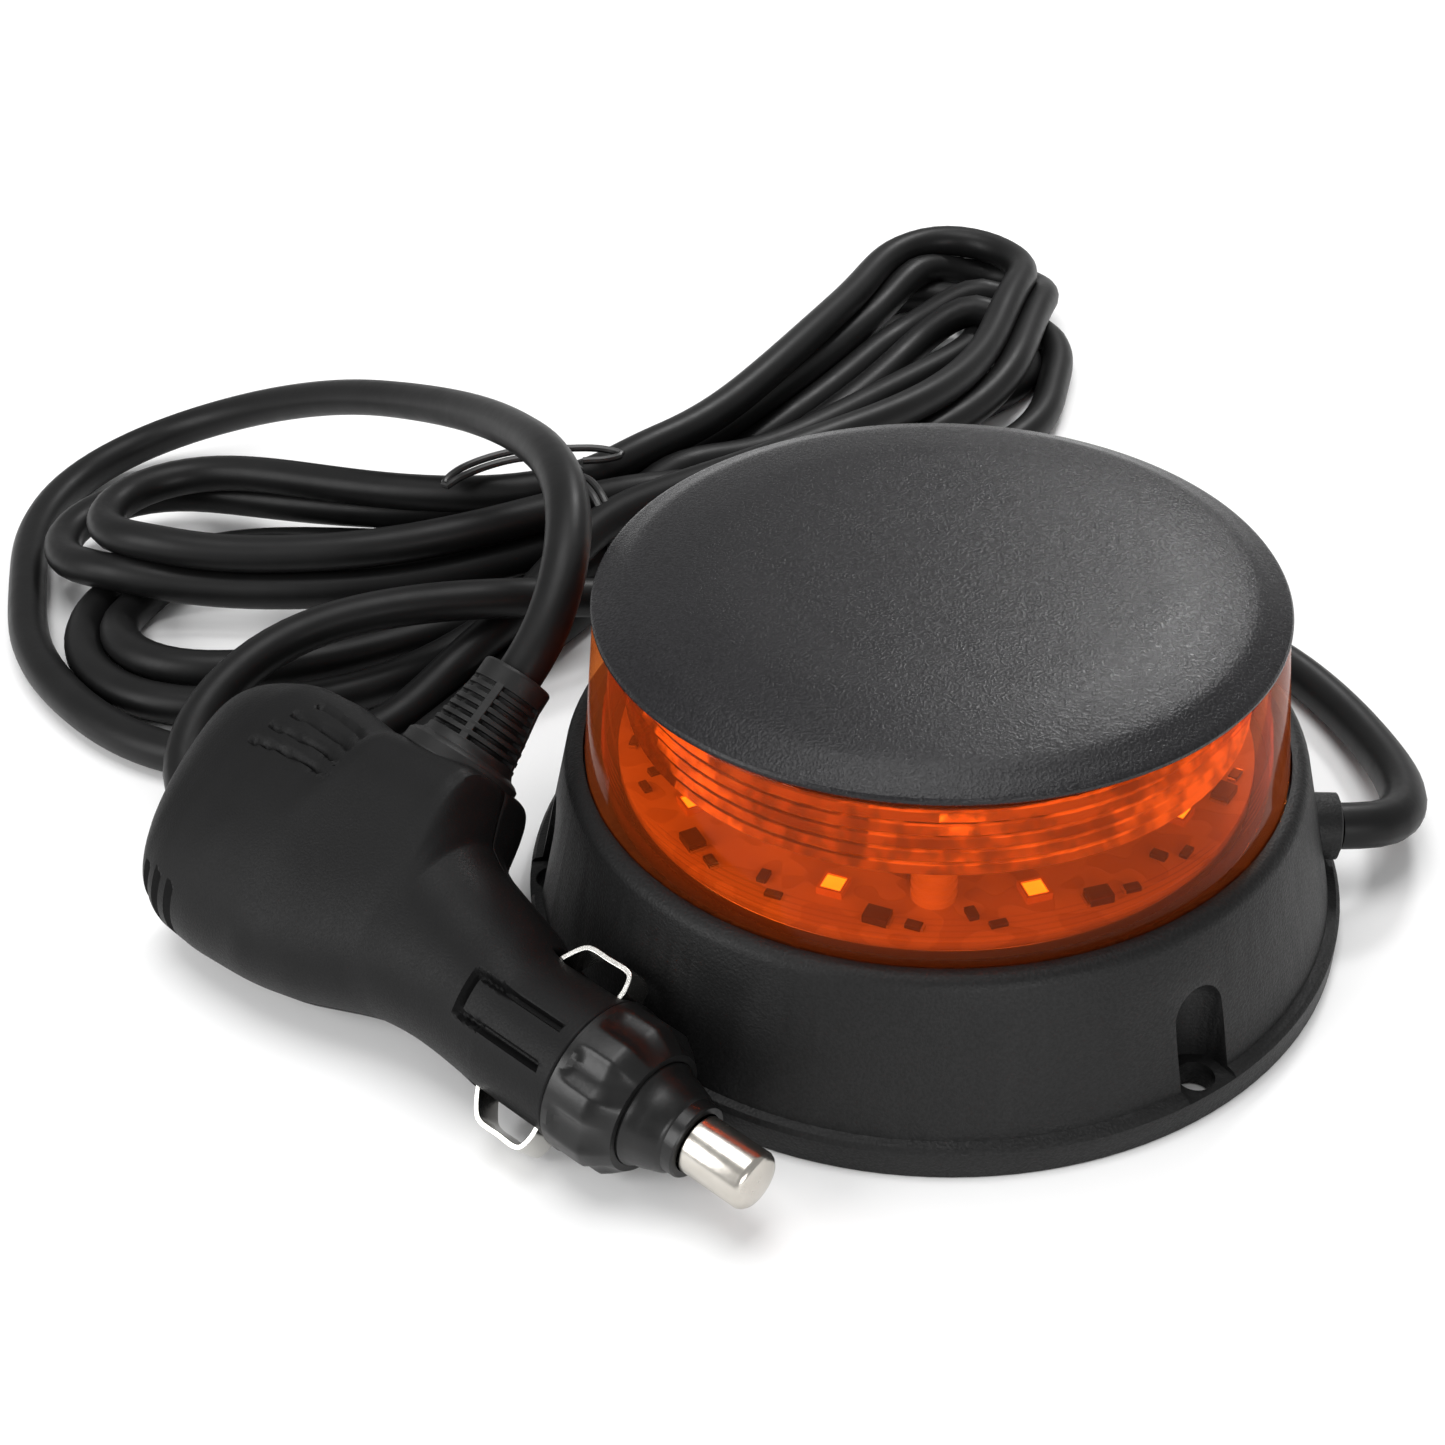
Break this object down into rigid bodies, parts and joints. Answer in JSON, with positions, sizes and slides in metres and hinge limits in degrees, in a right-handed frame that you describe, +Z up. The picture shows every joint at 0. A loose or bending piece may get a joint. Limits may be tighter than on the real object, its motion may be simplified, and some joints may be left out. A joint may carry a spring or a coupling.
{
  "type": "warning beacon",
  "caption": "Low round amber LED warning beacon with a flanged base and a flat cap; a tied black lead ends in an angled vehicle power plug",
  "frame": {"origin": "centre of the beacon's underside, on the surface that it stands on", "axes": "+Z up through the cap, +X towards the lead's exit from the base"},
  "size_m": [0.257, 0.2996, 0.056],
  "materials": {
    "base_coat": "black powder coat with a fine sand grain on die-cast aluminium",
    "cap_coat": "charcoal powder coat with a fine sand grain on die-cast aluminium",
    "lens_amber": "clear amber polycarbonate, glossy, moulded rings inside",
    "optic_clear": "moulded plastic cells with a bright metal film",
    "seal_rubber": "black silicone",
    "pad_rubber": "black non-scratch rubber sheet",
    "plate_alu": "bare rolled sheet",
    "screw_steel": "zinc plated",
    "cup_steel": "pressed steel, nickel plated",
    "magnet_grey": "ground ferrite",
    "board_green": "glass-fibre circuit board with green mask",
    "board_white": "aluminium-core circuit board with white mask",
    "coil_core": "ferrite drum with copper wire",
    "can_alu": "sleeved aluminium can",
    "chip_black": "black moulded package",
    "connector_white": "natural nylon",
    "core_sleeve": "red and black core sleeves",
    "led_yellow": "white ceramic package with a yellow dome",
    "plug_plastic": "black moulded plastic with a fine spark grain",
    "nose_plastic": "black moulded plastic, smooth satin",
    "boot_rubber": "black flexible plastic with ribs",
    "tip_nickel": "nickel-plated brass, turned",
    "fuse_glass": "glass tube with plated end caps",
    "contact_steel": "nickel-plated spring steel",
    "contact_brass": "stamped brass",
    "lead_jacket": "black rubber-like jacket, satin",
    "tie_plastic": "black plastic-coated wire"
  },
  "bodies": {
    "lamp": {"base_housing": "base_coat", "foot_gasket": "seal_rubber", "bottom_plate": "plate_alu", "bottom_screws": "screw_steel", "vent_plug": "seal_rubber", "magnet_cup": "cup_steel", "magnet_ring": "magnet_grey", "magnet_pad": "pad_rubber", "heat_spreader": "plate_alu", "driver_board": "board_green", "board_screws": "screw_steel", "inductor": "coil_core", "capacitors": "can_alu", "driver_chips": "chip_black", "wire_connector": "connector_white", "lead_cores": "core_sleeve", "cord_grip": "connector_white", "lead_grommet": "seal_rubber", "led_board": "board_white", "led_chips": "led_yellow", "reflector_ring": "optic_clear", "lens_ring": "lens_amber", "lens_seal": "seal_rubber", "cap_seal": "seal_rubber", "top_cap": "cap_coat", "stack_screws": "screw_steel", "grip_shell_upper": "plug_plastic", "grip_shell_lower": "plug_plastic", "shell_screws": "screw_steel", "lead_boot": "boot_rubber", "fuse_spring": "contact_steel", "centre_contact": "contact_brass", "plug_cores": "core_sleeve", "lead_stub": "lead_jacket", "lead_tail": "lead_jacket", "cord_hank": "lead_jacket", "twist_tie": "tie_plastic", "plug_lead": "lead_jacket"},
    "nose": {"nose_cone": "nose_plastic"},
    "nut": {"nose_ring": "plug_plastic"},
    "tip": {"tip_pin": "tip_nickel", "fuse": "fuse_glass"},
    "near_contact": {"side_contact_near": "contact_steel"},
    "far_contact": {"side_contact_far": "contact_steel"}
  },
  "joints": [
    {"name": "nose_lift", "type": "slide", "parent": "lamp", "child": "nose", "axis": [0.8078, -0.5869, -0.0558], "range_m": [0, 0.0046]},
    {"name": "nut_turn", "type": "hinge", "parent": "nose", "child": "nut", "pos_m": [-0.0436, -0.0554, 0.0112], "axis": [-0.8078, 0.5869, 0.0558], "range_deg": [0, 1080]},
    {"name": "tip_press", "type": "slide", "parent": "nose", "child": "tip", "axis": [-0.8078, 0.5869, 0.0558], "range_m": [0, 0.0035], "stiffness_N_per_m": 800, "springref_m": -0.002},
    {"name": "near_contact_press", "type": "slide", "parent": "lamp", "child": "near_contact", "axis": [0.5074, 0.6439, 0.5727], "range_m": [0, 0.0018], "stiffness_N_per_m": 600, "springref_m": -0.0006},
    {"name": "far_contact_press", "type": "slide", "parent": "lamp", "child": "far_contact", "axis": [-0.5074, -0.6439, -0.5727], "range_m": [0, 0.0018], "stiffness_N_per_m": 600, "springref_m": -0.0006}
  ],
  "couplings": [
    {"joint": "nose_lift", "follows": "nut_turn", "m_per_rad": 0.00023873}
  ]
}
